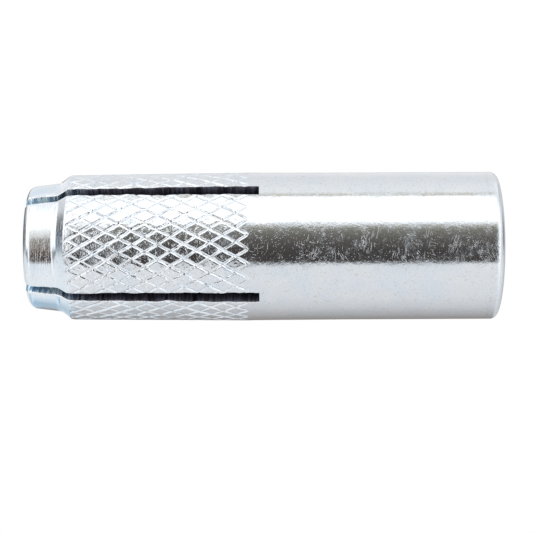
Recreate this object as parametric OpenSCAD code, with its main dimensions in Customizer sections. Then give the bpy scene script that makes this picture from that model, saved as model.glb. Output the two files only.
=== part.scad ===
// Drop-in anchor for an M12 bolt: a slotted, knurled steel sleeve with an expander plug inside.
// It stands on its nose: z = 0 is the nose tip, the threaded mouth is at the top. Lengths in mm.

/* [Sleeve] */
// overall length, nose tip to mouth
length = 50; // [40:0.5:80]
// outside diameter of the plain shank
body_d = 15.8; // [14:0.1:24]
// rounding of the outer edge at the mouth
mouth_edge = 0.7; // [0.3:0.05:1.2]

/* [Nose] */
// radial step from the shank down to the nose land
nose_step = 1.05; // [0.8:0.05:2]
// height at which the nose land ends and the shoulder starts
nose_len = 3.05; // [2:0.05:6]
// how much the nose land narrows toward the tip, across the radius
nose_taper = 0.3; // [0:0.05:0.5]
// rounding of the edge at the nose tip
tip_edge = 0.5; // [0.2:0.05:0.8]
// fillet at the foot of the shoulder and rounding at its top
shoulder_round = 1; // [0.4:0.05:1.2]
// how far the sawn legs are squeezed inward at the nose
squeeze = 0.15; // [0:0.01:0.4]

/* [Knurl] */
// plain band between the nose shoulder and the knurl
knurl_gap = 0.1; // [0.05:0.05:2]
// height at which the knurl ends
knurl_end = 23.5; // [14:0.1:40]
// number of grooves in each hand around the sleeve
knurl_starts = 32; // [16:2:40]
// angle of the grooves to the sleeve's axis
knurl_angle = 30; // [25:1:40]
// depth of the knurl grooves
groove_depth = 0.12; // [0.06:0.02:0.3]
// width of a knurl groove at the surface
groove_w = 0.45; // [0.25:0.05:0.7]
// metal raised by the knurling at its shank end
knurl_raise = 0.05; // [0.01:0.01:0.1]

/* [Slots] */
// number of saw cuts around the nose end
slot_count = 4; // [2:1:6]
// length of the saw cuts from the nose tip
slot_len = 24.5; // [14:0.5:40]
// width of a saw cut at its root
slot_w = 1.3; // [0.8:0.05:2]
// width left of a saw cut at the nose tip
slot_tip_w = 0.82; // [0.6:0.02:2]

/* [Bore] */
// minor diameter of the internal M12 thread
bore_d = 10.25; // [8:0.05:12]
// depth of the threaded part below the mouth
thread_len = 21.5; // [12:0.5:28]
// diameter of the countersink at the mouth
sink_d = 13; // [12.2:0.1:14]
// diameter of the plain chamber that holds the plug
chamber_d = 9.4; // [8:0.05:10]
// height at which the chamber ends and the taper starts
taper_top = 21; // [16:0.5:24]
// height at which the taper ends in the nose hole
taper_foot = 3.5; // [2:0.5:8]
// diameter of the hole through the nose
nose_hole_d = 5.8; // [4:0.1:7]

/* [Plug] */
// overall length of the expander plug
plug_len = 13; // [8:0.5:18]
// length of the plug's plain rear end
plug_rear_len = 6; // [2:0.5:7]
// gap between the plug's plain rear end and the chamber, across the radius
plug_gap = 0.05; // [0.02:0.01:0.2]
// running gap between the plug's cone and the taper, across the radius
seat_gap = 0.01; // [0:0.005:0.05]
// chamfer at both ends of the plug
plug_edge = 0.5; // [0.2:0.05:0.8]

/* [Hidden] */
$fn = 96;
// how far a cutter reaches past the faces it opens
over = 1;
// flat steps in each rounding of the turned outside
bend_steps = 6;
// half the point angle of the drill that makes the bore
drill_a = 59;
// chamfer of the nose hole at the tip
hole_edge = 0.3;
body_r = body_d / 2;
bore_r = bore_d / 2;
chamber_r = chamber_d / 2;
hole_r = nose_hole_d / 2;
leg_r = body_r - squeeze;
nose_r = body_r - nose_step;
tip_r = nose_r - nose_taper;
land_a = atan(nose_taper / (nose_len - tip_edge));
// slope of the shoulder's face, and the most of its step that each rounding may take
steep = 50;
round_share = 0.49;
round_r = min(shoulder_round, round_share * (leg_r - nose_r) / (1 - cos(steep)));
foot_r = nose_r + round_r * cos(land_a);
foot_z = nose_len - round_r * sin(land_a);
slope_in = (leg_r - round_r * (1 - cos(steep))) - (foot_r - round_r * cos(steep));
shoulder_top = foot_z + 2 * round_r * sin(steep) + slope_in / tan(steep);
knurl_start = shoulder_top + knurl_gap;
drill_h = (bore_r - chamber_r) / tan(drill_a);
sink_h = (sink_d - bore_d) / 2;
thread_foot = length - thread_len;
taper_slope = (chamber_r - hole_r) / (taper_top - taper_foot);
plug_r = chamber_r - plug_gap;
cone_top = taper_foot + (plug_r + seat_gap - hole_r) / taper_slope;
plug_rear = cone_top + plug_rear_len;
plug_front = plug_rear - plug_len;
front_r = plug_r - (cone_top - plug_front) * taper_slope;

// lattice of the knurl: half pitches around and along the sleeve
knurl_len = knurl_end - knurl_start;
pitch_round = PI * body_d / knurl_starts;
pitch_along = pitch_round / tan(knurl_angle);
rows = max(4, round(2 * knurl_len / pitch_along));
row_h = knurl_len / rows;
pitch_across = pitch_round * cos(knurl_angle);
// how far the cutter stands off the skin, and the most of a pitch that its grooves may take
proud = 0.06;
groove_share = 0.8;
groove_full = groove_w * (groove_depth + proud) / groove_depth;
pad = 1 - min(groove_share, groove_full / pitch_across);

// outer radius of the knurled legs at height z
function skin(z) = leg_r + (body_r + knurl_raise - leg_r) * (z - knurl_start) / knurl_len;

// a point of the knurl lattice: half pitch i around, row j up, lifted off the skin by lift
function spot(i, j, lift) =
    let (z = knurl_start + j * row_h, a = (i + 1) * 180 / knurl_starts, r = skin(z) + lift)
    [r * cos(a), r * sin(a), z];

// column of the pad k in row j
function col(k, j) = 2 * k + 1 - j % 2;

// the groove crossings, the pad corners and the two outer rings of the knurl
crossings = [
    for (j = [0:rows], k = [0:knurl_starts - 1])
        spot(2 * k + j % 2, j, -groove_depth)
];
corners = [
    for (j = [0:rows], k = [0:knurl_starts - 1], q = [0:3])
        spot(col(k, j) + [-pad, pad, 0, 0][q], min(rows, max(0, j + [0, 0, -pad, pad][q])), proud)
];
rings = [
    for (j = [0, rows], i = [0:2 * knurl_starts - 1])
        spot(i, j, over)
];

first_corner = len(crossings);
first_ring = first_corner + len(corners);

function cross_at(k, j) = j * knurl_starts + (k + knurl_starts) % knurl_starts;

function corner_at(k, j, q) =
    first_corner + 4 * (j * knurl_starts + (k + knurl_starts) % knurl_starts) + q;

function ring_at(i, top) =
    first_ring + top * 2 * knurl_starts + (i + 2 * knurl_starts) % (2 * knurl_starts);

// upper half of a pad with its two groove flanks
function upper(k, j) =
    let (e = j % 2, l = corner_at(k, j, 0), r = corner_at(k, j, 1), t = corner_at(k, j, 3))
    let (cl = cross_at(k - e, j), cr = cross_at(k + 1 - e, j), ct = cross_at(k, j + 1))
    [[l, r, t], [r, cr, ct], [r, ct, t], [t, ct, cl], [t, cl, l]];

// lower half of a pad with its two groove flanks
function lower(k, j) =
    let (e = j % 2, l = corner_at(k, j, 0), r = corner_at(k, j, 1), b = corner_at(k, j, 2))
    let (cl = cross_at(k - e, j), cr = cross_at(k + 1 - e, j), cb = cross_at(k, j - 1))
    [[l, b, r], [l, cl, cb], [l, cb, b], [b, cb, cr], [b, cr, r]];

// flat end of the ring beside pad k, from the grooves out to the outer ring
function cap(k, j, top) =
    let (e = j % 2, i = col(k, j), l = corner_at(k, j, 0), r = corner_at(k, j, 1))
    let (cl = cross_at(k - e, j), cr = cross_at(k + 1 - e, j))
    let (o0 = ring_at(i - 1, top), o1 = ring_at(i, top), o2 = ring_at(i + 1, top))
    [[cl, o1, o0], [cl, l, o1], [l, r, o1], [r, cr, o1], [cr, o2, o1]];

function turned_over(f) = [f[2], f[1], f[0]];

knurl_faces = concat(
    [for (j = [0:rows - 1], k = [0:knurl_starts - 1]) each upper(k, j)],
    [for (j = [1:rows], k = [0:knurl_starts - 1]) each lower(k, j)],
    [for (k = [0:knurl_starts - 1], f = cap(k, 0, 0)) turned_over(f)],
    [for (k = [0:knurl_starts - 1]) each cap(k, rows, 1)],
    [for (i = [0:2 * knurl_starts - 1]) [ring_at(i, 0), ring_at(i, 1), ring_at(i + 1, 1)]],
    [for (i = [0:2 * knurl_starts - 1]) [ring_at(i, 0), ring_at(i + 1, 1), ring_at(i + 1, 0)]]
);

// points on an arc about [r, z], from angle a to angle b
function bend(r, z, radius, a, b) =
    [
        for (q = [0:bend_steps])
            let (t = a + (b - a) * q / bend_steps)
            [r + radius * cos(t), z + radius * sin(t)]
    ];

// outside of the sleeve as turned: nose land, shoulder, squeezed legs, shank
module outline() {
    difference() {
        polygon(concat(
            [[0, 0]],
            bend(tip_r - tip_edge, tip_edge, tip_edge, -90, 0),
            bend(foot_r, foot_z, round_r, 180 - land_a, 180 - steep),
            bend(leg_r - round_r, shoulder_top, round_r, -steep, 0),
            [[leg_r, knurl_start]],
            [[body_r + knurl_raise, knurl_end]],
            [[body_r, knurl_end + 2 * knurl_raise]],
            [[body_r, length]],
            [[0, length]]
        ));
        difference() {
            translate([body_r - mouth_edge, length - mouth_edge])
                square(mouth_edge + over);
            translate([body_r - mouth_edge, length - mouth_edge])
                circle(mouth_edge);
        }
    }
}

// hole right through the sleeve: nose hole, taper, plug chamber, thread bore, countersink
module hollow() {
    polygon([
        [0, -over],
        [hole_r + hole_edge + over, -over],
        [hole_r, hole_edge],
        [hole_r, taper_foot],
        [chamber_r, taper_top],
        [chamber_r, thread_foot - drill_h],
        [bore_r, thread_foot],
        [bore_r, length - sink_h],
        [bore_r + sink_h + over, length + over],
        [0, length + over]
    ]);
}

// one saw cut, from the bore outward, narrower at the nose where the legs are squeezed
module slot() {
    rotate([90, 0, 90])
        translate([0, 0, hole_r / 2])
            linear_extrude(body_r)
                polygon([
                    [-slot_tip_w / 2, -over],
                    [slot_tip_w / 2, -over],
                    [slot_w / 2, slot_len],
                    [-slot_w / 2, slot_len]
                ]);
}

// ring that leaves the diamond grooves when it is cut from the sleeve
module knurl() {
    polyhedron(points = concat(crossings, corners, rings), faces = knurl_faces, convexity = 8);
}

// the sleeve is one piece of zinc-plated steel
module sleeve() {
    color([0.74, 0.77, 0.82])
        difference() {
            difference() {
                rotate_extrude()
                    difference() {
                        outline();
                        hollow();
                    }
                knurl();
            }
            for (i = [0:slot_count - 1])
                rotate([0, 0, i * 360 / slot_count])
                    slot();
        }
}

// the cone-nosed plug that spreads the legs when it is driven home
module expander_plug() {
    color([0.5, 0.52, 0.55])
        rotate_extrude()
            polygon([
                [0, plug_front],
                [front_r - plug_edge, plug_front],
                [front_r, plug_front + plug_edge],
                [plug_r, cone_top],
                [plug_r, plug_rear - plug_edge],
                [plug_r - plug_edge, plug_rear],
                [0, plug_rear]
            ]);
}

sleeve();
expander_plug();
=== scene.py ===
import math

import bpy
import numpy as np
from mathutils import Matrix, Vector


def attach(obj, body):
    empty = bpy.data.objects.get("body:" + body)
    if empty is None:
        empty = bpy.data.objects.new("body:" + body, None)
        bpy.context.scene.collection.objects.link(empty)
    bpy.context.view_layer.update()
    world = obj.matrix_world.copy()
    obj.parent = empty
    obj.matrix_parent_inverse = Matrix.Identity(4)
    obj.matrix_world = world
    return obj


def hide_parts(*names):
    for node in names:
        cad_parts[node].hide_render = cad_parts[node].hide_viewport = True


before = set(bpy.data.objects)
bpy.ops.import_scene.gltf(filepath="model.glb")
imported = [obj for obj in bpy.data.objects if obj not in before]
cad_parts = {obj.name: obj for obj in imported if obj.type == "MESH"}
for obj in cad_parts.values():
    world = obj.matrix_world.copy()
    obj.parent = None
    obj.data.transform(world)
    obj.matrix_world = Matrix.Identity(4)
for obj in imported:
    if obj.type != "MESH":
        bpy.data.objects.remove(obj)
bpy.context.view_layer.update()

MM, MICRON = 1e-3, 1e-6
SEED = 7

# Sizes in mm and radians, with z = 0 at the nose tip and z = 50 at the mouth. Most are the CAD's. The
# shoulder, the tip edge, the saw cuts and the knurl's ends follow the photo more closely than the solids do.
LENGTH = 50.0
BODY_R = 7.9
LEG_R = 7.75
MOUTH_EDGE = 0.7

# Nose: a flat tip face, a rounded tip edge, a tapered land, and a fillet into the shoulder's steep cone.
TIP_FACE = 0.4
TIP_R, TIP_EDGE = 6.59, 0.86
NOSE_R, NOSE_LEN = 6.85, 2.94
LAND = math.atan((NOSE_R - TIP_R) / (NOSE_LEN - TIP_EDGE))
LAND_RINGS = (0.3, 0.6, 0.9)
FILLET = 1.45
STEEP = math.radians(37)
FOOT_R = NOSE_R + FILLET * math.cos(LAND)
FOOT_Z = NOSE_LEN - FILLET * math.sin(LAND)

# Shoulder's edge: crowned, broken by a small round, and set back beside the slots.
CROWN, CROWN_LEN, BROKEN = 0.05, 0.45, 0.15
EDGE_R = LEG_R - CROWN
EDGE_TILT = math.atan(2 * CROWN / CROWN_LEN)
ROUND_R = BROKEN * math.cos(EDGE_TILT)
ROUND_Z = BROKEN * math.sin(EDGE_TILT)
CONE_RISE = EDGE_R - ROUND_R + BROKEN * math.cos(STEEP) - (FOOT_R - FILLET * math.cos(STEEP))
CONE_TOP = FOOT_Z + FILLET * math.sin(STEEP) + CONE_RISE / math.tan(STEEP)
EDGE_Z = CONE_TOP + BROKEN * math.sin(STEEP) - ROUND_Z
SET_BACK = 0.16
LEAN_Z, LEAN_SHARE = (1.5, 3.4, 4.6, 7.0), (0, 1, 1, 0)

# Knurl: grooves of two hands, u and v, that cross and leave diamond pads. Each cell of the lattice is cut at
# CELL_STEPS, which are closer together at the grooves than on the pads.
KNURL_Z0, KNURL_Z1 = 4.73, 23.5
STARTS, ROWS = 32, 14
ROW_H = (KNURL_Z1 - KNURL_Z0) / ROWS
RAISE = 0.05
SKEW, SKEW_Z = 0.0034, 18.2
GROOVE_TILT = math.radians(30)
ACROSS = 2 * math.pi * BODY_R / STARTS * math.cos(GROOVE_TILT)
DEPTH, HALF_W = 0.09, 0.152
RIM, RIM_W = 0.008, 0.07
CELL_STEPS = np.array([0, 0.04, 0.10, 0.155, 0.22, 0.5, 0.78, 0.845, 0.90, 0.96])
PER_CELL = len(CELL_STEPS)
AROUND = STARTS * PER_CELL
LAST_ROW = ROWS * PER_CELL

# Near the nose, hand u is the deeper one and runs through hand v, and towards the shank they swap. A hand's
# share is that of DEPTH at the nose and its growth, then that of HALF_W and its growth.
SWING_Z, SWING_LEN = 7, 11
U_SHARE = (1.08, -0.3, 1.06, -0.16)
V_SHARE = (0.7, 0.36, 0.84, 0.22)
CROSS_IN, CROSS_LEN = 0.04, 0.14

# Unevenness of the grooves' depth, how far they wander, and how they run out at the knurl's two ends.
U_UNEVEN, U_RAGGED = 0.16, 0.2
V_UNEVEN, V_RAGGED = 0.2, 0.22
WANDER_AROUND, WANDER_Z, WANDER_FADE = 0.022, 0.03, 0.6
END_LEAST, EDGE_RUN, SHANK_RUN = 0.15, 0.12, 0.27

# Shank: the knurling leaves it swollen by a hair next to the knurl.
RUN_OUT = 0.4
SWELL = ((KNURL_Z1 + RUN_OUT, 0.035), (26.0, 0.025), (30.0, 0.01))
SHANK_Z0, SHANK_Z1, SHANK_RINGS = 34.5, 49.0, 6

# Hollow: countersink with a broken edge, M12 thread, drill's cone, chamber, taper, and chamfered nose hole.
# SINK_EDGE and HOLE_EDGE list the widening at distances from the mouth and from the tip.
SINK_R, SINK_EDGE = 6.5, ((0.05, 0.0), (-0.06, 0.08))
BORE_R, THREAD_R, PITCH = 5.125, 6.0, 1.75
THREAD_Z0, THREAD_TOP, RINGS_PER_PITCH = 28.5, 0.25, 14
FLANK, ROOT_HALF = math.radians(30), PITCH / 16
CHAMBER_R, DRILL_TILT = 4.7, math.radians(59)
TAPER_Z0, TAPER_Z1, TAPER_RINGS = 3.5, 21.0, 10
HOLE_R, HOLE_EDGE = 2.9, ((0.0, 1.6), (0.0, 0.32), (0.08, 0.2), (0.3, 0.0))
FINE = 4
IN_AROUND = AROUND // FINE

# Saw cuts: narrower at the tip, where the legs are squeezed, with a broken edge. The first is off the axis.
# A cutter runs from SLOT_FROM_R to SLOT_PAST outside the skin, and starts below the tip.
SLOTS = 4
SLOT_LEN, SLOT_W, SLOT_TIP_W = 24.6, 1.35, 0.9
SLOT_FROM_R, SLOT_PAST = 1.2, 1.5
SLOT_BELOW, SLOT_FIRST, SLOT_STEPS = (-0.6, -0.02), 0.3, 70
SLOT_DRIFT, SLOT_WIDEN, SLOT_SMOOTH = 0.05, 0.11, 3
OFF_CENTRE = -0.11
BREAK, BREAK_PAST = 0.1, 0.03

rng = np.random.default_rng(SEED)


def waves(count, low, high):
    """Smooth seeded noise over (angle, z): a sum of waves that closes around the sleeve.

    low and high limit how many waves fit in one way around the sleeve, or in that length along it.
    """
    turns = rng.integers(-high, high + 1, count)
    slope = rng.uniform(-high, high, count) / BODY_R
    phase = rng.uniform(0, 2 * math.pi, count)
    keep = np.hypot(turns, slope * BODY_R) > low
    kept = list(zip(turns[keep], slope[keep], phase[keep]))

    def height(ang, z):
        total = np.zeros_like(ang)
        for m, k, p in kept:
            total += np.sin(m * ang + k * z + p)
        return total / math.sqrt(max(1, len(kept)) / 2)

    return height


wander_around = waves(count=60, low=6, high=26)
wander_z = waves(count=60, low=6, high=26)
uneven_u = waves(count=60, low=3, high=14)
uneven_v = waves(count=60, low=3, high=14)
ragged_u = waves(count=90, low=50, high=130)
ragged_v = waves(count=90, low=50, high=130)


# Shape of the outside.
def skin(z):
    """Outer radius of the knurled legs at height z, which fall away to the shoulder's edge."""
    straight = LEG_R + (BODY_R + RAISE - LEG_R) * (z - EDGE_Z) / (KNURL_Z1 - EDGE_Z)
    return straight - CROWN * np.clip(1 - (z - EDGE_Z) / CROWN_LEN, 0, 1) ** 2


def lean(ang, z):
    """How far a point of the shoulder is set back: most beside the slots, not at all between them."""
    return SET_BACK * (1 + np.cos(SLOTS * ang)) / 2 * np.interp(z, LEAN_Z, LEAN_SHARE)


def skew(z):
    """Turn of the knurl's lattice at height z, because its two hands aren't quite alike."""
    return SKEW * (SKEW_Z - np.clip(z, EDGE_Z, KNURL_Z1))


def smooth(t):
    t = np.clip(t, 0, 1)
    return t * t * (3 - 2 * t)


def groove(off, depth, half):
    """Height of the surface at distance off from the middle of a groove: a V with rolled rims."""
    return -depth * np.clip(1 - off / half, 0, 1) + RIM * np.exp(-(((off - half - RIM_W) / RIM_W) ** 2))


def hand(off, swing, share, uneven):
    """Height of the surface beside the grooves of one hand."""
    deep, deeper, wide, wider = share
    return groove(off, DEPTH * (deep + deeper * swing) * uneven, HALF_W * (wide + wider * swing))


def within(off):
    """How far a point lies within the groove of the other hand, 0 to 1."""
    return 1 - smooth((off - CROSS_IN) / CROSS_LEN)


def warp(k):
    """Place of grid line k, counted in cells."""
    return np.floor_divide(k, PER_CELL) + CELL_STEPS[np.mod(k, PER_CELL)]


# Mesh of the sleeve, in mm.
verts, faces = [], []


def add_points(ang, r, z):
    first = len(verts)
    for p in zip(r * np.cos(ang), r * np.sin(ang), z):
        verts.append(p)
    return list(range(first, len(verts)))


def knurl_row(row):
    """One row of the knurl's helical grid, whose lines run along both hands of groove."""
    b = np.arange(AROUND) - row // 2
    a = b + row
    ang = (warp(a) + warp(b) + 1) * math.pi / STARTS
    climb = warp(a) - warp(b)
    z = KNURL_Z0 + np.where(climb < 0, climb * (KNURL_Z0 - EDGE_Z), climb * ROW_H)
    turn = ang * STARTS / math.pi - 1
    u = (turn + (z - KNURL_Z0) / ROW_H) / 2
    v = (turn - (z - KNURL_Z0) / ROW_H) / 2
    off_u = np.abs(u - np.round(u)) * ACROSS
    off_v = np.abs(v - np.round(v)) * ACROSS
    swing = np.clip((z - SWING_Z) / SWING_LEN, 0, 1)
    depth_u = 1 + U_UNEVEN * uneven_u(ang, z) + U_RAGGED * ragged_u(ang, z)
    depth_v = 1 + V_UNEVEN * uneven_v(ang, z) + V_RAGGED * ragged_v(ang, z)
    high_u = hand(off_u, swing, U_SHARE, depth_u) * (1 - swing * within(off_v))
    high_v = hand(off_v, swing, V_SHARE, depth_v) * (1 - (1 - swing) * within(off_u))
    lowest = np.minimum(high_u, high_v)
    height = np.where(lowest < 0, lowest, np.maximum(high_u, high_v))
    ends = np.minimum(END_LEAST + (z - EDGE_Z) / EDGE_RUN, (KNURL_Z1 - z) / SHANK_RUN)
    r = skin(z) + height * np.clip(ends, 0.0 if row == LAST_ROW else END_LEAST, 1)
    fade = np.clip(np.minimum(z - EDGE_Z, KNURL_Z1 - z) / WANDER_FADE, 0, 1)
    ang = ang + skew(z) + fade * WANDER_AROUND * wander_around(ang, z) / BODY_R
    z = z + fade * WANDER_Z * wander_z(ang, z)
    return add_points(ang, r, z + lean(ang, z))


def outer_ring(r, z):
    ang = outer_ang + skew(z)
    return add_points(ang, r, z + lean(ang, z))


def inner_ring(r, z):
    return add_points(inner_ang, r, np.full(IN_AROUND, z))


def stitch(lower, upper):
    n = len(lower)
    for i in range(n):
        j = (i + 1) % n
        faces.append((lower[i], lower[j], upper[j], upper[i]))


def stitch_all(rings):
    for lower, upper in zip(rings, rings[1:]):
        stitch(lower, upper)


def end_face(outer, inner, upward):
    """The flat ring between the outside and the hollow, which has one point for FINE points outside."""
    for i in range(IN_AROUND):
        j = (i + 1) % IN_AROUND
        span = [outer[(i * FINE + q) % AROUND] for q in range(FINE + 1)]
        for q in range(FINE):
            apex = inner[i] if q < FINE // 2 else inner[j]
            first, second = (span[q], span[q + 1]) if upward else (span[q + 1], span[q])
            faces.append((first, second, apex))
        first, second = (inner[i], inner[j]) if upward else (inner[j], inner[i])
        faces.append((first, span[FINE // 2], second))


def arc(centre_r, centre_z, radius, start, end, count):
    """Points (r, z) of an arc, with its angles in degrees."""
    return [
        (centre_r + radius * math.cos(math.radians(t)), centre_z + radius * math.sin(math.radians(t)))
        for t in np.linspace(start, end, count)
    ]


knurl_rows = [knurl_row(row) for row in range(-PER_CELL, LAST_ROW + 1)]
outer_ang = (warp(np.arange(AROUND)) * 2 + 1) * math.pi / STARTS
inner_ang = outer_ang[::FINE]

# Outside below the knurl: tip face, tip edge, nose land, fillet, cone, shoulder's edge.
land_deg, steep_deg, edge_deg = math.degrees(LAND), math.degrees(STEEP), math.degrees(EDGE_TILT)
nose_profile = [(TIP_R - TIP_EDGE - TIP_FACE, 0.0)]
nose_profile += arc(TIP_R - TIP_EDGE, TIP_EDGE, TIP_EDGE, -90, -land_deg, count=9)
for f in LAND_RINGS:
    nose_profile.append((TIP_R + (NOSE_R - TIP_R) * f, TIP_EDGE + (NOSE_LEN - TIP_EDGE) * f))
nose_profile += arc(FOOT_R, FOOT_Z, FILLET, 180 - land_deg, 180 - steep_deg, count=8)
nose_profile += arc(EDGE_R - ROUND_R, EDGE_Z + ROUND_Z, BROKEN, -steep_deg, -edge_deg, count=5)[:-1]
nose_rings = [outer_ring(r, z) for r, z in nose_profile]
stitch_all(nose_rings)
stitch(nose_rings[-1], knurl_rows[0])

for row, (lower, upper) in enumerate(zip(knurl_rows, knurl_rows[1:])):
    for i in range(AROUND):
        j = (i + 1) % AROUND
        if row % 2 == 0:
            faces.append((lower[i], lower[j], upper[i]))
            faces.append((upper[i], lower[j], upper[j]))
        else:
            faces.append((upper[i], lower[i], upper[j]))
            faces.append((lower[i], lower[j], upper[j]))

# Outside above the knurl: plain shank and the rounded edge of the mouth.
shank_profile = [(BODY_R + swell, z) for z, swell in SWELL]
shank_profile += [(BODY_R, z) for z in np.linspace(SHANK_Z0, SHANK_Z1, SHANK_RINGS)]
shank_profile += arc(BODY_R - MOUTH_EDGE, LENGTH - MOUTH_EDGE, MOUTH_EDGE, 0, 90, count=9)
shank_rings = [outer_ring(r, z) for r, z in shank_profile]
stitch(knurl_rows[-1], shank_rings[0])
stitch_all(shank_rings)


# Hollow, from the mouth down to the tip.
def thread_r(ang, z):
    """Radius of the right-hand internal thread, whose groove runs out near its foot."""
    turn = np.mod(ang, 2 * math.pi) / (2 * math.pi)
    climb = (z - THREAD_Z0) / PITCH - 0.5 - turn
    whole = np.floor(climb + 0.5)
    flank = (np.abs(climb - whole) * PITCH - ROOT_HALF) / math.tan(FLANK)
    depth = THREAD_R - BORE_R - np.clip(flank, 0, THREAD_R - BORE_R)
    return BORE_R + depth * np.clip(2 * (whole + turn), 0, 1)


inner_rings = [inner_ring(SINK_R + wider, LENGTH - down) for wider, down in SINK_EDGE]
for z in np.arange(LENGTH - THREAD_TOP, THREAD_Z0, -PITCH / RINGS_PER_PITCH):
    sink = BORE_R + (z - (LENGTH - SINK_R + BORE_R))
    inner_rings.append(inner_ring(np.maximum(thread_r(inner_ang, np.full(IN_AROUND, z)), sink), z))
drill_h = (BORE_R - CHAMBER_R) / math.tan(DRILL_TILT)
inner_rings.append(inner_ring(BORE_R, THREAD_Z0))
inner_rings.append(inner_ring(CHAMBER_R, THREAD_Z0 - drill_h))
inner_rings.append(inner_ring(CHAMBER_R, TAPER_Z1))
for t in np.linspace(1 / TAPER_RINGS, 1, TAPER_RINGS):
    taper_r = CHAMBER_R + (HOLE_R - CHAMBER_R) * t
    inner_rings.append(inner_ring(taper_r, TAPER_Z1 + (TAPER_Z0 - TAPER_Z1) * t))
inner_rings += [inner_ring(HOLE_R + wider, z) for wider, z in HOLE_EDGE]
stitch_all(inner_rings)
end_face(shank_rings[-1], inner_rings[0], upward=True)
end_face(nose_rings[0], inner_rings[-1], upward=False)


def mesh_object(name, points, polys):
    mesh = bpy.data.meshes.new(name)
    mesh.from_pydata([tuple(c * MM for c in p) for p in points], [], polys)
    mesh.validate()
    mesh.update()
    obj = bpy.data.objects.new(name, mesh)
    bpy.context.scene.collection.objects.link(obj)
    return obj


sleeve = mesh_object("sleeve_visual", verts, faces)

# Outline of the skin beside a slot, which the slots' broken edges follow.
crown_z = np.linspace(EDGE_Z, EDGE_Z + CROWN_LEN, num=6)
leg_z = np.concatenate([crown_z, [KNURL_Z1]])
swell_z, swell_r = SWELL[0]
profile_z = np.concatenate([[z for r, z in nose_profile], leg_z, [swell_z, LENGTH]])
profile_z = profile_z + lean(0.0, profile_z)
profile_r = np.concatenate([[r for r, z in nose_profile], skin(leg_z), [BODY_R + swell_r, BODY_R]])


# Saw cuts: one lofted cutter per slot, a little uneven.
def slot_half(z):
    return (SLOT_TIP_W + (SLOT_W - SLOT_TIP_W) * z / SLOT_LEN) / 2


def unsteady(count, amount):
    """Seeded unevenness along a saw cut."""
    return np.convolve(rng.normal(0, 1, count), np.ones(SLOT_SMOOTH) / SLOT_SMOOTH, "same") * amount


def slot_cutter(index):
    """Points and faces of a slot's cutter, a bar along z whose sides open out at the skin."""
    stations = np.concatenate([SLOT_BELOW, np.linspace(SLOT_FIRST, SLOT_LEN, SLOT_STEPS)])
    drift = unsteady(len(stations), SLOT_DRIFT)
    widen = unsteady(len(stations), SLOT_WIDEN)
    off = OFF_CENTRE if index == 0 else 0.0
    pts, polys = [], []
    for s, z in enumerate(stations):
        half = slot_half(max(0.0, z)) + widen[s] / 2
        skin_r = float(np.interp(z, profile_z, profile_r))
        mid = drift[s] + off
        flare = half + BREAK + BREAK_PAST
        wall = [(SLOT_FROM_R, half), (skin_r - BREAK, half)]
        wall += [(skin_r + BREAK_PAST, flare), (skin_r + SLOT_PAST, flare)]
        section = [(x, mid + y) for x, y in wall] + [(x, mid - y) for x, y in reversed(wall)]
        pts += [(x, y, z) for x, y in section]
    n = len(section)
    for s in range(len(stations) - 1):
        for q in range(n):
            p = (q + 1) % n
            polys.append((s * n + q, s * n + p, (s + 1) * n + p, (s + 1) * n + q))
    polys.append(tuple(reversed(range(n))))
    polys.append(tuple(range((len(stations) - 1) * n, len(stations) * n)))
    turn = Matrix.Rotation(index * 2 * math.pi / SLOTS, 3, "Z")
    pts = [tuple(turn @ Vector(p)) for p in pts]
    return pts, [tuple(reversed(f)) for f in polys]


cut_pts, cut_polys = [], []
for index in range(SLOTS):
    pts, polys = slot_cutter(index)
    cut_polys += [tuple(i + len(cut_pts) for i in f) for f in polys]
    cut_pts += pts
cutter = mesh_object("slot_cutter", cut_pts, cut_polys)
cut = sleeve.modifiers.new("slots", "BOOLEAN")
cut.operation = "DIFFERENCE"
cut.solver = "EXACT"
cut.object = cutter
depsgraph = bpy.context.evaluated_depsgraph_get()
cut_mesh = bpy.data.meshes.new_from_object(sleeve.evaluated_get(depsgraph))
sleeve.modifiers.clear()
sleeve.data = cut_mesh
bpy.data.objects.remove(cutter)


# Node helpers. The trees of the materials get coordinates in mm.
def new_metal(name, roughness=None):
    mat = bpy.data.materials.new(name)
    mat.use_nodes = True
    tree = mat.node_tree
    tree.nodes.clear()
    out = tree.nodes.new("ShaderNodeOutputMaterial")
    bsdf = tree.nodes.new("ShaderNodeBsdfPrincipled")
    bsdf.inputs["Metallic"].default_value = 1.0
    if roughness is not None:
        bsdf.inputs["Roughness"].default_value = roughness
    tree.links.new(bsdf.outputs[0], out.inputs["Surface"])
    coord = tree.nodes.new("ShaderNodeTexCoord")
    scale = tree.nodes.new("ShaderNodeVectorMath")
    scale.operation = "SCALE"
    scale.inputs["Scale"].default_value = 1 / MM
    tree.links.new(coord.outputs["Object"], scale.inputs[0])
    return mat, tree, bsdf, scale.outputs[0]


def noise(tree, vector, size, detail=2.0, rough=0.5, seed=None):
    """Noise with features of about size mm, 0 to 1."""
    n = tree.nodes.new("ShaderNodeTexNoise")
    if seed is not None:
        n.noise_dimensions = "4D"
        n.inputs["W"].default_value = seed
    n.inputs["Scale"].default_value = 1.0 / size
    n.inputs["Detail"].default_value = detail
    n.inputs["Roughness"].default_value = rough
    tree.links.new(vector, n.inputs["Vector"])
    return n.outputs["Fac"]


def spread(tree, value, lo, hi, to_lo, to_hi):
    """The value's range from lo to hi, stretched from to_lo to to_hi and held there beyond."""
    m = tree.nodes.new("ShaderNodeMapRange")
    m.inputs["From Min"].default_value = lo
    m.inputs["From Max"].default_value = hi
    m.inputs["To Min"].default_value = to_lo
    m.inputs["To Max"].default_value = to_hi
    tree.links.new(value, m.inputs["Value"])
    return m.outputs["Result"]


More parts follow.
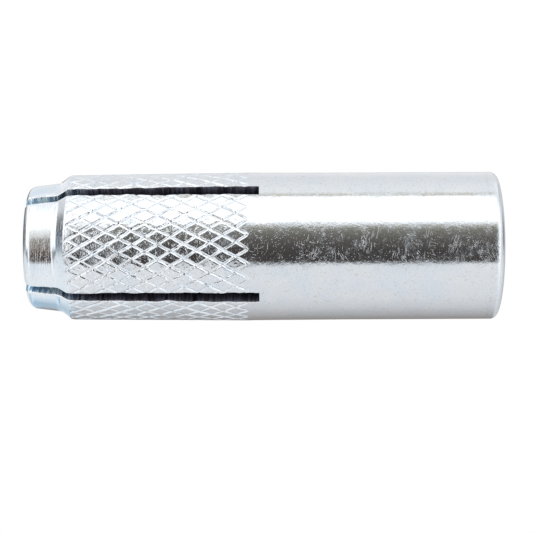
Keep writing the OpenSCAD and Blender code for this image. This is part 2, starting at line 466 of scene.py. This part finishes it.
def math_node(tree, op, *values):
    m = tree.nodes.new("ShaderNodeMath")
    m.operation = op
    for socket, value in zip(m.inputs, values):
        if isinstance(value, (int, float)):
            socket.default_value = value
        else:
            tree.links.new(value, socket)
    return m.outputs[0]


def plus(tree, a, b):
    return math_node(tree, "ADD", a, b)


def times(tree, a, b):
    return math_node(tree, "MULTIPLY", a, b)


def mix(tree, fac, a, b):
    """Colour a where fac is 0, colour b where it is 1."""
    m = tree.nodes.new("ShaderNodeMix")
    m.data_type = "RGBA"
    for name, value in (("A", a), ("B", b)):
        socket = [s for s in m.inputs if s.name == name and s.type == "RGBA"][0]
        if isinstance(value, tuple):
            socket.default_value = value
        else:
            tree.links.new(value, socket)
    tree.links.new(fac, m.inputs[0])
    return [s for s in m.outputs if s.type == "RGBA"][0]


def bump(tree, bsdf, height, microns):
    b = tree.nodes.new("ShaderNodeBump")
    b.inputs["Strength"].default_value = 1.0
    b.inputs["Distance"].default_value = microns * MICRON
    tree.links.new(height, b.inputs["Height"])
    tree.links.new(b.outputs["Normal"], bsdf.inputs["Normal"])


def height_of(tree, mm):
    split = tree.nodes.new("ShaderNodeSeparateXYZ")
    tree.links.new(mm, split.inputs[0])
    return split.outputs["Z"]


def round_coords(tree, mm, squash):
    """Coordinates that run around and along the sleeve, in mm, with the way around squashed."""
    split = tree.nodes.new("ShaderNodeSeparateXYZ")
    tree.links.new(mm, split.inputs[0])
    angle = math_node(tree, "ARCTAN2", split.outputs["Y"], split.outputs["X"])
    join = tree.nodes.new("ShaderNodeCombineXYZ")
    tree.links.new(times(tree, angle, BODY_R * squash), join.inputs["X"])
    tree.links.new(split.outputs["Z"], join.inputs["Z"])
    return join.outputs[0]


def streaks(tree, flat, turn, length, width, lo, hi):
    """Sparse fine scratches, length by width mm, laid at an angle in degrees on the unrolled skin."""
    m = tree.nodes.new("ShaderNodeMapping")
    m.vector_type = "TEXTURE"
    m.inputs["Rotation"].default_value = (0, math.radians(turn), 0)
    m.inputs["Scale"].default_value = (length, 1, width)
    tree.links.new(flat, m.inputs["Vector"])
    return spread(tree, noise(tree, m.outputs[0], size=1.0, detail=0.0), lo, hi, 0, 1)


# Zinc of the skin. Its finish changes at these heights in mm. A thin, patchy tan mark runs round near the
# mouth.
NOSE_TOP = (4.0, 4.3)
LEG_FOOT, LEG_TOP = (4.3, 4.6), (21.5, 23.5)
CALM_TOP, SHANK_SPAN = (21, 25), (26, 46)
MARK_Z, MARK_HALF = 48.65, (0.08, 0.26)

# Its scratches come in groups, each with a seed, an angle in degrees and a length in mm.
SCUFFS = ((3, 20, 1.1), (11, -32, 0.9), (19, 70, 0.8), (27, -75, 0.8), (35, 5, 1.4))
SCUFF_W = 0.06
TURNED_SQUASH = 0.12
ZINC_TONES = (0.70, 0.725, 0.755, 1), (0.65, 0.70, 0.76, 1)
DIRT_TONE = (0.50, 0.45, 0.36, 1)

# Its roughness, and the shares that its marks have in the height of its bumps.
NOSE_MATT, HAZE_MATT, SCUFF_MATT, CLOUD_MATT = 0.06, (0.06, 0.17), 0.08, 0.1
BUMP_MICRONS = 32
MIDDLE_BUMP, SPECK_BUMP, GRAIN_BUMP = 0.3, 0.14, 0.08
PIT_BUMP, SCUFF_BUMP, DENT_BUMP = 0.25, 0.12, 0.42
TURNED_BUMP, NOSE_SPECK_BUMP = 0.27, 0.1


def make_zinc():
    """Bright zinc: specked, pitted and scratched on the shank and legs, finely turned on the nose."""
    mat, t, bsdf, mm = new_metal("zinc")
    z = height_of(t, mm)
    cloud = noise(t, mm, size=2.2, detail=3.0)
    middle = noise(t, mm, size=0.42, detail=3.0, rough=0.6)
    speck = noise(t, mm, size=0.2, detail=2.0, rough=0.6)
    grain = noise(t, mm, size=0.08, detail=1.0)
    haze = noise(t, mm, size=0.6, detail=4.0, rough=0.7)
    dirt = noise(t, mm, size=0.26, detail=3.0, rough=0.7)
    turned = noise(t, round_coords(t, mm, TURNED_SQUASH), size=0.16, detail=3.0, rough=0.6)
    pits = spread(t, noise(t, mm, size=0.11, detail=1.0), 0.69, 0.79, 0, 1)
    pits = times(t, pits, spread(t, cloud, 0.35, 0.6, 0.5, 1))
    dents = spread(t, noise(t, mm, size=0.46, detail=2.0, rough=0.6), 0.52, 0.72, 0, DENT_BUMP)
    flat = round_coords(t, mm, 1.0)
    scuff = 0.0
    for seed, turn, length in SCUFFS:
        group = spread(t, noise(t, mm, size=1.5, detail=1.0, seed=seed), 0.57, 0.68, 0, 1)
        scratch = streaks(t, flat, turn, length, SCUFF_W, 0.64, 0.72)
        scuff = math_node(t, "MAXIMUM", scuff, times(t, scratch, group))

    tone = mix(t, spread(t, cloud, 0.3, 0.7, 0, 1), *ZINC_TONES)
    dusty = spread(t, dirt, 0.57, 0.68, 0, 0.5)
    from_mark = math_node(t, "ABSOLUTE", math_node(t, "SUBTRACT", z, MARK_Z))
    mark = times(t, spread(t, from_mark, *MARK_HALF, 1, 0), spread(t, dirt, 0.5, 0.6, 0, 0.6))
    tone = mix(t, math_node(t, "MAXIMUM", dusty, mark), tone, DIRT_TONE)
    t.links.new(tone, bsdf.inputs["Base Color"])

    nose = spread(t, z, *NOSE_TOP, 1, 0)
    plain = math_node(t, "SUBTRACT", 1.0, nose)
    matt = plus(t, spread(t, haze, 0.48, 0.74, *HAZE_MATT), times(t, scuff, SCUFF_MATT))
    matt = plus(t, matt, spread(t, cloud, 0.44, 0.66, 0, CLOUD_MATT))
    matt = plus(t, times(t, matt, plain), times(t, nose, NOSE_MATT))
    t.links.new(matt, bsdf.inputs["Roughness"])

    rough = plus(t, times(t, middle, MIDDLE_BUMP), times(t, speck, SPECK_BUMP))
    rough = plus(t, rough, times(t, grain, GRAIN_BUMP))
    rough = times(t, rough, spread(t, cloud, 0.35, 0.65, 0.6, 1.3))
    rough = plus(t, rough, times(t, pits, PIT_BUMP))
    rough = plus(t, rough, times(t, scuff, SCUFF_BUMP))
    rough = times(t, rough, spread(t, z, *SHANK_SPAN, 1.15, 0.75))
    rough = times(t, rough, spread(t, z, *CALM_TOP, 0.75, 1))
    legs = times(t, spread(t, z, *LEG_FOOT, 0, 1), spread(t, z, *LEG_TOP, 1, 0.1))
    rough = plus(t, rough, times(t, dents, legs))
    lines = plus(t, times(t, turned, TURNED_BUMP), times(t, speck, NOSE_SPECK_BUMP))
    bump(t, bsdf, plus(t, times(t, rough, plain), times(t, lines, nose)), BUMP_MICRONS)
    return mat


# Walls of the saw cuts, which are lighter and bluer up to these heights in mm; above them, their dark tones
# are painted shade of the slot's recess.
TIP_WALL = (0.6, 7.0)
SAW_STRETCH = (0.1, 0.1, 1.0)
SLOT_SHADE_TONES = (0.08, 0.076, 0.093, 1), (0.19, 0.195, 0.25, 1)
TIP_TONES = (0.17, 0.31, 0.46, 1), (0.9, 1.0, 1.0, 1)


def make_saw():
    """Walls of the saw cuts: dark with painted shade of the slot's recess, with marks across, and lighter and
    bluer towards the tip.
    """
    mat, t, bsdf, mm = new_metal("slot_wall_painted_shade", roughness=0.45)
    stretch = t.nodes.new("ShaderNodeVectorMath")
    stretch.operation = "MULTIPLY"
    stretch.inputs[1].default_value = SAW_STRETCH
    t.links.new(mm, stretch.inputs[0])
    marks = noise(t, stretch.outputs[0], size=0.22)
    # Painted shade: these dark tones stand in for the shade deep inside the slot; the marks across are the
    # saw's.
    dark = mix(t, spread(t, marks, 0.4, 0.62, 0, 1), *SLOT_SHADE_TONES)
    tip_tone = mix(t, spread(t, marks, 0.42, 0.6, 0, 1), *TIP_TONES)
    near_tip = spread(t, height_of(t, mm), *TIP_WALL, 1, 0)
    t.links.new(mix(t, near_tip, dark, tip_tone), bsdf.inputs["Base Color"])
    bump(t, bsdf, marks, microns=12)
    return mat


def make_mottled(name, tones, size, detail, roughness, microns=None):
    """Metal mottled between two tones, with bumps where microns is given."""
    mat, t, bsdf, mm = new_metal(name, roughness)
    marks = noise(t, mm, size, detail)
    t.links.new(mix(t, spread(t, marks, 0.35, 0.65, 0, 1), *tones), bsdf.inputs["Base Color"])
    if microns is not None:
        bump(t, bsdf, marks, microns)
    return mat


# The other metals.
# The slot edges' near-white tones, brighter than the zinc, are a painted highlight along the saw cuts' broken
# edges.
EDGE_HIGHLIGHT_TONES = (0.9, 0.91, 0.93, 1), (0.97, 0.98, 1.0, 1)
BORE_TONES = (0.5, 0.52, 0.56, 1), (0.62, 0.65, 0.70, 1)
PLUG_TONES = (0.36, 0.37, 0.39, 1), (0.48, 0.49, 0.51, 1)
zinc = make_zinc()
saw = make_saw()
edge = make_mottled("slot_edge_painted_highlight", EDGE_HIGHLIGHT_TONES, size=0.3, detail=2.0, roughness=0.55)
bore = make_mottled("bore_zinc", BORE_TONES, size=0.5, detail=3.0, roughness=0.3, microns=6)
steel = make_mottled("plug_steel", PLUG_TONES, size=0.35, detail=3.0, roughness=0.35, microns=8)

# Materials of the sleeve's faces, in the order of its slots, and the limits that tell its faces apart: parts
# of a normal, and distances in mm.
ZINC, SAW, BORE, EDGE = range(4)
LOOKS_IN, LOOKS_DOWN, LOOKS_ACROSS = -0.2, -0.99, 0.86
LOOKS_ASLANT = (0.55, 0.84)
NEAR_BORE, NEAR_END, NEAR_ROOT = 0.4, 0.01, 1e-3
NEAR_WALL, NEAR_LIP, UNDER_SKIN, UNDER_BREAK = 0.17, 0.14, 0.03, 0.08
SHARP = math.radians(50)


def face_kinds(mesh):
    """Material of each face of the sleeve, from where it lies and which way it looks."""
    count = len(mesh.polygons)
    centre = np.empty(count * 3)
    normal = np.empty(count * 3)
    mesh.polygons.foreach_get("center", centre)
    mesh.polygons.foreach_get("normal", normal)
    centre = centre.reshape(-1, 3) / MM
    normal = normal.reshape(-1, 3)
    x, y, z = centre.T
    radius = np.hypot(x, y)
    outward = (x * normal[:, 0] + y * normal[:, 1]) / np.maximum(radius, 1e-6)
    skin_at = np.interp(z, profile_z, profile_r)
    half = slot_half(z)
    kind = np.full(count, ZINC, dtype=np.int32)
    hollow = (radius < BORE_R + NEAR_BORE) & (z > NEAR_END) & (z < LENGTH - NEAR_END)
    kind[(outward < LOOKS_IN) | hollow] = BORE
    for across, beside in ((normal[:, 1], y - OFF_CENTRE * (x > 0)), (normal[:, 0], x)):
        side = np.abs(beside)
        slope = np.abs(across)
        wall = (slope > LOOKS_ACROSS) & (np.abs(side - half) < NEAR_WALL)
        wall &= (z < SLOT_LEN) & (radius < skin_at - UNDER_SKIN)
        kind[wall] = SAW
        # Lip faces of the saw cuts get the slot edges' painted highlight.
        lip = (side > half - NEAR_LIP) & (side < half + BREAK + NEAR_LIP) & (z < SLOT_LEN)
        lip &= (slope > LOOKS_ASLANT[0]) & (slope < LOOKS_ASLANT[1])
        lip &= (radius > skin_at - BREAK - UNDER_BREAK) & (beside * across < 0)
        kind[lip] = EDGE
    kind[(np.abs(z - SLOT_LEN) < NEAR_ROOT) & (normal[:, 2] < LOOKS_DOWN)] = SAW
    return kind


mesh = sleeve.data
mesh.materials.clear()
for mat in (zinc, saw, bore, edge):
    mesh.materials.append(mat)
mesh.polygons.foreach_set("material_index", face_kinds(mesh))
mesh.polygons.foreach_set("use_smooth", np.ones(len(mesh.polygons), dtype=bool))
mesh.set_sharp_from_angle(angle=SHARP)
mesh.update()

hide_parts("sleeve")
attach(sleeve, "root")
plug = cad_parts["expander_plug"]
plug.data.materials.clear()
plug.data.materials.append(steel)

# Camera: side on, turned so that two saw cuts show, rolled so that the nose points left. Its place is in mm,
# and its focal length in pixels of the square image.
TURN, ROLL = math.radians(47), math.radians(0.28)
IMAGE_PX, FOCAL_PX, SENSOR = 533.0, 1578.0, 36.0
DISTANCE, LOOK_Z, LOWERED = 170.0, 25.35, 2.16
axis = Vector((0, 0, 1))
back = Vector((math.cos(TURN), math.sin(TURN), 0))
up = back.cross(axis)
right = axis * math.cos(ROLL) - up * math.sin(ROLL)
top = axis * math.sin(ROLL) + up * math.cos(ROLL)
cam_data = bpy.data.cameras.new("camera")
cam_data.sensor_width = SENSOR
cam_data.lens = FOCAL_PX / IMAGE_PX * SENSOR
cam_data.clip_start, cam_data.clip_end = 0.001, 10.0
cam = bpy.data.objects.new("camera", cam_data)
bpy.context.scene.collection.objects.link(cam)
spot = Vector((0, 0, LOOK_Z * MM)) + back * (DISTANCE * MM) - up * (LOWERED * MM)
cam.matrix_world = Matrix(
    (
        (right.x, top.x, back.x, spot.x),
        (right.y, top.y, back.y, spot.y),
        (right.z, top.z, back.z, spot.z),
        (0, 0, 0, 1),
    )
)
bpy.context.scene.camera = cam

# Floor: plain white, in metres, with a soft trace of the object's shadow. From below it is clear.
FLOOR_R, FLOOR_Z, FLOOR_SIDES = 0.9, -2e-5, 64
FLOOR_TONE, FLOOR_GLOW, GLOW_SHARE = (0.93, 0.93, 0.93, 1), 1.02, 0.92
floor_mesh = bpy.data.meshes.new("floor")
floor_ang = np.linspace(0, 2 * math.pi, FLOOR_SIDES, endpoint=False)
disc = [(FLOOR_R * math.cos(a), FLOOR_R * math.sin(a), FLOOR_Z) for a in floor_ang]
floor_mesh.from_pydata(disc, [], [tuple(range(FLOOR_SIDES))])
floor = bpy.data.objects.new("floor", floor_mesh)
bpy.context.scene.collection.objects.link(floor)
floor.visible_glossy = False
mat = bpy.data.materials.new("floor")
mat.use_nodes = True
t = mat.node_tree
t.nodes.clear()
out = t.nodes.new("ShaderNodeOutputMaterial")
path = t.nodes.new("ShaderNodeLightPath")
geo = t.nodes.new("ShaderNodeNewGeometry")
diffuse = t.nodes.new("ShaderNodeBsdfDiffuse")
diffuse.inputs["Color"].default_value = FLOOR_TONE
glow = t.nodes.new("ShaderNodeEmission")
glow.inputs["Strength"].default_value = FLOOR_GLOW
clear = t.nodes.new("ShaderNodeBsdfTransparent")
seen = t.nodes.new("ShaderNodeMixShader")
behind = t.nodes.new("ShaderNodeMixShader")
t.links.new(times(t, path.outputs["Is Camera Ray"], GLOW_SHARE), seen.inputs[0])
t.links.new(diffuse.outputs[0], seen.inputs[1])
t.links.new(glow.outputs[0], seen.inputs[2])
t.links.new(times(t, path.outputs["Is Camera Ray"], geo.outputs["Backfacing"]), behind.inputs[0])
t.links.new(seen.outputs[0], behind.inputs[1])
t.links.new(clear.outputs[0], behind.inputs[2])
t.links.new(behind.outputs[0], out.inputs["Surface"])
floor_mesh.materials.append(mat)

# World: a white studio of strips along the sleeve, which only the metal sees. It has a dark gap on the
# photo's viewing side, a bright strip above that, and boards and cards beyond the nose and the mouth.
world = bpy.data.worlds.new("studio")
bpy.context.scene.world = world
world.use_nodes = True
t = world.node_tree
t.nodes.clear()
out = t.nodes.new("ShaderNodeOutputWorld")
coord = t.nodes.new("ShaderNodeTexCoord")


def along(direction):
    d = t.nodes.new("ShaderNodeVectorMath")
    d.operation = "DOT_PRODUCT"
    d.inputs[1].default_value = direction
    t.links.new(coord.outputs["Generated"], d.inputs[0])
    return d.outputs["Value"]


# Where a ray goes: its angle around the sleeve from the viewing side, how far it runs along the sleeve, how
# far up it runs, and how steep a surface the camera sees it in. NOT_ZERO keeps the division safe.
NOT_ZERO = 1e-4
angle = math_node(t, "ARCTAN2", along(up), along(back))
around = spread(t, angle, -math.pi, math.pi, 0, 1)
rise = along(axis)
lift = spread(t, along(up), -1, 1, 0, 1)
half_way = math_node(t, "SQRT", plus(t, times(t, along(back), 2.0), 2.0 + NOT_ZERO))
slant = math_node(t, "DIVIDE", rise, half_way)


def grey(v):
    return (v, v, v)


def ramp(value, lo, hi, stops):
    """Colours at places between lo and hi, for a value between 0 and 1."""
    node = t.nodes.new("ShaderNodeValToRGB")
    elements = node.color_ramp.elements
    while len(elements) > 1:
        elements.remove(elements[0])
    for n, (place, colour) in enumerate(stops):
        pos = (place - lo) / (hi - lo)
        e = elements[0] if n == 0 else elements.new(pos)
        e.position = pos
        e.color = (*colour, 1)
    t.links.new(value, node.inputs[0])
    return node.outputs["Color"]


def strips(stops):
    """Colour by the angle around the sleeve, in degrees, upward positive."""
    return ramp(around, -180, 180, stops)


def levels(stops):
    """Colour by how far up a ray runs, from -1 to 1."""
    return ramp(lift, -1, 1, stops)


# Seen in the shank and the pads of the knurl.
side = strips([
    (-180, (0.3, 0.26, 0.25)), (-160, (0.34, 0.31, 0.3)), (-138, (0.5, 0.49, 0.48)),
    (-122, (0.67, 0.66, 0.66)), (-106, grey(0.83)), (-86, grey(0.95)), (-55, grey(1.0)),
    (-29, (0.99, 1.0, 1.0)), (-25.5, (0.072, 0.064, 0.06)), (-8, (0.075, 0.067, 0.063)),
    (6, (0.12, 0.11, 0.1)), (20, (0.22, 0.21, 0.18)), (27, (0.31, 0.3, 0.255)),
    (31, (0.62, 0.61, 0.56)), (35, grey(1.4)), (39, grey(1.75)), (80, grey(1.75)),
    (85, (0.62, 0.57, 0.47)), (88, (0.85, 0.83, 0.76)), (91, (1.12, 1.12, 1.1)), (110, (1.06, 1.06, 1.05)),
    (132, grey(0.97)), (160, grey(1.0)), (175, grey(0.45)), (180, (0.32, 0.3, 0.3)),
])

# Seen in the nose's land.
nose_side = strips([
    (-180, (0.5, 0.62, 0.74)), (-142, (0.64, 0.76, 0.87)), (-127, (0.84, 1.02, 1.16)),
    (-116, (0.93, 1.12, 1.28)), (-106, (1.02, 1.08, 1.1)), (-74, (1.1, 1.12, 1.12)),
    (-54, (1.05, 1.08, 1.1)), (-36, (0.98, 1.01, 1.04)), (-31, (0.8, 0.82, 0.84)),
    (-26, (0.05, 0.018, 0.005)), (-19, (0.04, 0.012, 0.003)), (-13, (0.09, 0.055, 0.035)),
    (-7, (0.17, 0.125, 0.09)), (4, (0.31, 0.265, 0.215)), (15, (0.4, 0.36, 0.31)), (21, (0.85, 0.83, 0.78)),
    (27, (1.1, 1.09, 1.05)), (33, (1.29, 1.29, 1.27)), (42, grey(1.6)), (84, grey(1.6)), (92, grey(1.15)),
    (118, (1.07, 1.08, 1.07)), (146, (1.05, 1.09, 1.13)), (165, (1.0, 1.04, 1.08)), (180, (0.55, 0.62, 0.7)),
])

# Seen in the grooves' flanks that face the nose, in the tip's edge and in the fillet. Both share their ends.
low_board = [
    (-180, (0.65, 0.8, 0.92)), (-150, (0.55, 0.72, 0.86)), (-128, (0.52, 0.7, 0.84)),
    (-108, (1.02, 1.1, 1.14)),
]
high_board = [(122, (1.0, 1.06, 1.11)), (150, (0.98, 1.06, 1.12)), (180, grey(0.5))]
nose_end = strips([
    *low_board, (-60, grey(1.2)), (-26, grey(1.5)), (36, grey(1.6)), (62, grey(1.6)), (77, grey(1.2)),
    (87, grey(1.2)), (99, grey(1.5)), *high_board,
])
nose_step = strips([
    *low_board, (-60, grey(1.15)), (-37, (0.97, 1.01, 1.05)), (-29, grey(0.62)), (-22, (0.38, 0.37, 0.36)),
    (-13, (0.5, 0.49, 0.48)), (-6, grey(0.85)), (1, grey(1.4)), (36, grey(1.6)), (62, grey(1.6)),
    (99, grey(1.4)), *high_board,
])

# Seen in the shoulder's cone, and in the steepest part of the tip's edge.
shoulder = strips([
    (-180, (0.6, 0.75, 0.85)), (-147, (0.61, 0.75, 0.83)), (-136, (1.0, 1.09, 1.12)),
    (-110, (1.08, 1.12, 1.13)), (-79, (1.06, 1.09, 1.1)), (-60, (1.0, 1.05, 1.06)),
    (-30, (0.73, 0.8, 0.84)), (8, (0.24, 0.285, 0.33)), (47, (0.21, 0.245, 0.285)),
    (68, (0.1, 0.12, 0.135)), (86, (0.16, 0.17, 0.175)), (99, grey(0.46)), (109, grey(0.84)),
    (122, grey(0.95)), (141, grey(1.12)), (180, grey(1.1)),
])
tip = levels([
    (-1, grey(0.97)), (-0.1, grey(0.97)), (-0.035, grey(0.5)), (0, grey(0.36)), (0.05, grey(0.22)),
    (0.12, grey(0.18)), (0.3, grey(0.34)), (1, grey(0.5)),
])

# Seen in the grooves' flanks that face the mouth, and in the mouth's rounded edge.
mouth_end = strips([
    (-180, grey(0.6)), (-120, grey(0.88)), (-60, grey(1.2)), (-20, grey(1.45)), (14, grey(1.5)),
    (40, grey(1.6)), (60, grey(1.5)), (77, grey(1.15)), (87, grey(1.15)), (100, grey(1.3)), (130, grey(1.0)),
    (160, grey(0.8)), (180, grey(0.6)),
])
mouth_edge = strips([
    (-180, grey(0.6)), (-120, grey(0.88)), (-60, grey(1.1)), (-20, (1.0, 0.99, 0.97)), (14, (1.1, 1.1, 1.08)),
    (40, grey(1.2)), (70, grey(1.05)), (98, (0.82, 0.81, 0.79)), (130, (0.84, 0.83, 0.82)), (160, grey(0.8)),
    (180, grey(0.6)),
])
mouth_pole = levels([
    (-1, grey(0.9)), (-0.15, grey(0.85)), (0.02, (0.42, 0.41, 0.39)), (0.5, (0.36, 0.34, 0.32)),
    (0.8, grey(0.7)), (1, grey(0.9)),
])

# Each of these takes over from the ones before it, below or above a soft limit.
BELOW, ABOVE = (1, 0), (0, 1)
studio = side
for value, lo, hi, reach, colour in (
    (rise, -0.23, -0.17, BELOW, nose_end),
    (rise, -0.345, -0.305, BELOW, nose_side),
    (rise, -0.52, -0.43, BELOW, nose_end),
    (rise, -0.66, -0.58, BELOW, nose_step),
    (slant, -0.63, -0.6, BELOW, shoulder),
    (slant, -0.77, -0.7, BELOW, tip),
    (rise, 0.175, 0.25, ABOVE, mouth_end),
    (rise, 0.47, 0.55, ABOVE, mouth_edge),
    (rise, 0.85, 0.95, ABOVE, mouth_pole),
):
    studio = mix(t, spread(t, value, lo, hi, *reach), studio, colour)
path = t.nodes.new("ShaderNodeLightPath")
lit = mix(t, path.outputs["Is Glossy Ray"], (1, 1, 1, 1), studio)
seen = t.nodes.new("ShaderNodeBackground")
t.links.new(lit, seen.inputs["Color"])
t.links.new(seen.outputs[0], out.inputs["Surface"])

bpy.context.scene.view_settings.view_transform = "Standard"
